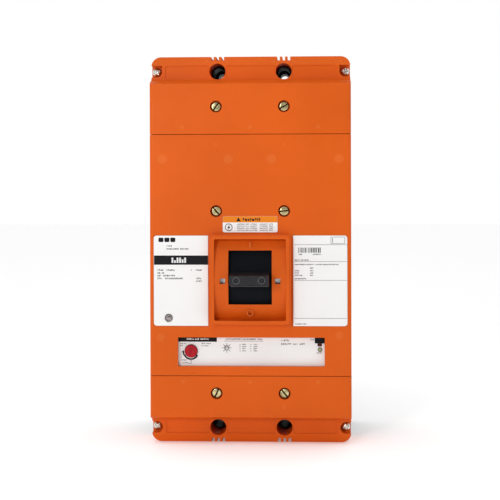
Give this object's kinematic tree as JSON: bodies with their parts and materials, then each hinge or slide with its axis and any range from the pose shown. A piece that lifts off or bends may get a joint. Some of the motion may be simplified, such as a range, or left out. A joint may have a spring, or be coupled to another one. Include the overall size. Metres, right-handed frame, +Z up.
{
  "type": "molded case circuit breaker",
  "caption": "Large molded case breaker with orange cover, toggle handle in a raised collar, trip unit window and bolted terminals inside end bays.",
  "frame": {"origin": "centre of the flat back mounting face", "axes": "+X to the breaker's right seen from the front, +Z up towards the line terminals, front faces -Y"},
  "size_m": [0.2096, 0.176, 0.4064],
  "materials": {
    "orange_moulding": "semi-gloss moulded thermoset",
    "black_moulding": "semi-matte moulded thermoset",
    "brass_plate": "yellow zinc plate",
    "nickel_plate": "nickel plate",
    "zinc_steel": "zinc plate",
    "spring_steel": "drawn wire",
    "copper": "silver-flashed copper",
    "copper_braid": "woven copper braid",
    "white_label": "printed film",
    "amber_label": "printed film",
    "red_plastic": "moulded",
    "grey_plastic": "moulded",
    "green_lens": "clear moulded",
    "chute_steel": "oxidised plate",
    "coil_resin": "cast resin"
  },
  "bodies": {
    "case": {"base_case": "black_moulding", "main_cover": "orange_moulding", "line_terminal_cover": "orange_moulding", "load_terminal_cover": "orange_moulding", "cover_screw_1": "brass_plate", "cover_screw_2": "brass_plate", "cover_screw_3": "brass_plate", "cover_screw_4": "brass_plate", "cover_screw_5": "brass_plate", "cover_screw_6": "brass_plate", "corner_screw_1": "nickel_plate", "corner_screw_2": "nickel_plate", "corner_screw_3": "nickel_plate", "corner_screw_4": "nickel_plate", "left_nameplate": "white_label", "right_nameplate": "white_label", "caution_label": "amber_label", "trip_unit_case": "black_moulding", "trip_unit_label": "white_label", "status_lens": "green_lens", "test_port_plug": "black_moulding", "mechanism_plate_left": "zinc_steel", "mechanism_plate_right": "zinc_steel", "line_terminal_1": "copper", "line_terminal_2": "copper", "line_terminal_3": "copper", "load_conductor_1": "copper", "load_conductor_2": "copper", "load_conductor_3": "copper", "flexible_shunt_1": "copper_braid", "flexible_shunt_2": "copper_braid", "flexible_shunt_3": "copper_braid", "arc_chute_1": "chute_steel", "arc_chute_2": "chute_steel", "arc_chute_3": "chute_steel", "current_transformer_1": "coil_resin", "current_transformer_2": "coil_resin", "current_transformer_3": "coil_resin"},
    "handle": {"toggle_handle": "black_moulding", "handle_shroud": "black_moulding", "handle_yoke": "zinc_steel", "toggle_spring_left": "spring_steel", "toggle_spring_right": "spring_steel"},
    "crossbar": {"crossbar": "black_moulding", "contact_arm_1": "copper", "contact_arm_2": "copper", "contact_arm_3": "copper"},
    "lower_link": {"lower_toggle_link": "zinc_steel"},
    "cradle": {"cradle": "zinc_steel"},
    "upper_link": {"upper_toggle_link": "zinc_steel"},
    "latch": {"latch": "zinc_steel"},
    "trip_bar": {"trip_bar": "black_moulding"},
    "trip_button": {"push_to_trip_button": "grey_plastic"},
    "rating_knob": {"rating_knob": "red_plastic"},
    "pickup_selector": {"pickup_selector": "grey_plastic"}
  },
  "joints": [
    {"name": "handle_pivot", "type": "hinge", "parent": "case", "child": "handle", "pos_m": [0, -0.058, -0.0285], "axis": [1, 0, 0], "range_deg": [-12, 12], "deforming": ["toggle_spring_left", "toggle_spring_right"]},
    {"name": "crossbar_pivot", "type": "hinge", "parent": "case", "child": "crossbar", "pos_m": [0, -0.045, -0.008], "axis": [1, 0, 0], "range_deg": [-20.3, 20.3]},
    {"name": "lower_link_pivot", "type": "hinge", "parent": "crossbar", "child": "lower_link", "pos_m": [0, -0.054, -0.017], "axis": [1, 0, 0], "range_deg": [-28, 28]},
    {"name": "cradle_pivot", "type": "hinge", "parent": "case", "child": "cradle", "pos_m": [0, -0.076, -0.006], "axis": [1, 0, 0], "range_deg": [-9, 0], "stiffness_Nm_per_rad": 0.5, "springref_deg": 11.46},
    {"name": "upper_link_pivot", "type": "hinge", "parent": "cradle", "child": "upper_link", "pos_m": [0, -0.077, -0.022], "axis": [1, 0, 0], "range_deg": [-14, 14]},
    {"name": "push_to_trip", "type": "slide", "parent": "case", "child": "trip_button", "axis": [0, 1, 0], "range_m": [0, 0.003], "stiffness_N_per_m": 400, "springref_m": -0.002},
    {"name": "trip_bar_pivot", "type": "hinge", "parent": "case", "child": "trip_bar", "pos_m": [0, -0.1, -0.0822], "axis": [1, 0, 0], "range_deg": [-14.4, 0.1]},
    {"name": "latch_pivot", "type": "hinge", "parent": "case", "child": "latch", "pos_m": [0, -0.1, -0.052], "axis": [1, 0, 0], "range_deg": [-0.1, 8.7]},
    {"name": "rating_knob_turn", "type": "hinge", "parent": "case", "child": "rating_knob", "pos_m": [-0.0622, -0.13, -0.1053], "axis": [0, -1, 0], "range_deg": [-135, 135]},
    {"name": "pickup_selector_turn", "type": "hinge", "parent": "case", "child": "pickup_selector", "pos_m": [-0.0249, -0.13, -0.102], "axis": [0, -1, 0], "range_deg": [0, 315]}
  ],
  "couplings": [
    {"joint": "crossbar_pivot", "follows": "handle_pivot", "ratio": 1.6875},
    {"joint": "lower_link_pivot", "follows": "handle_pivot", "ratio": -2.25},
    {"joint": "upper_link_pivot", "follows": "handle_pivot", "ratio": 1.125},
    {"joint": "trip_bar_pivot", "follows": "push_to_trip", "rad_per_m": -83.333},
    {"joint": "latch_pivot", "follows": "push_to_trip", "rad_per_m": 50}
  ]
}
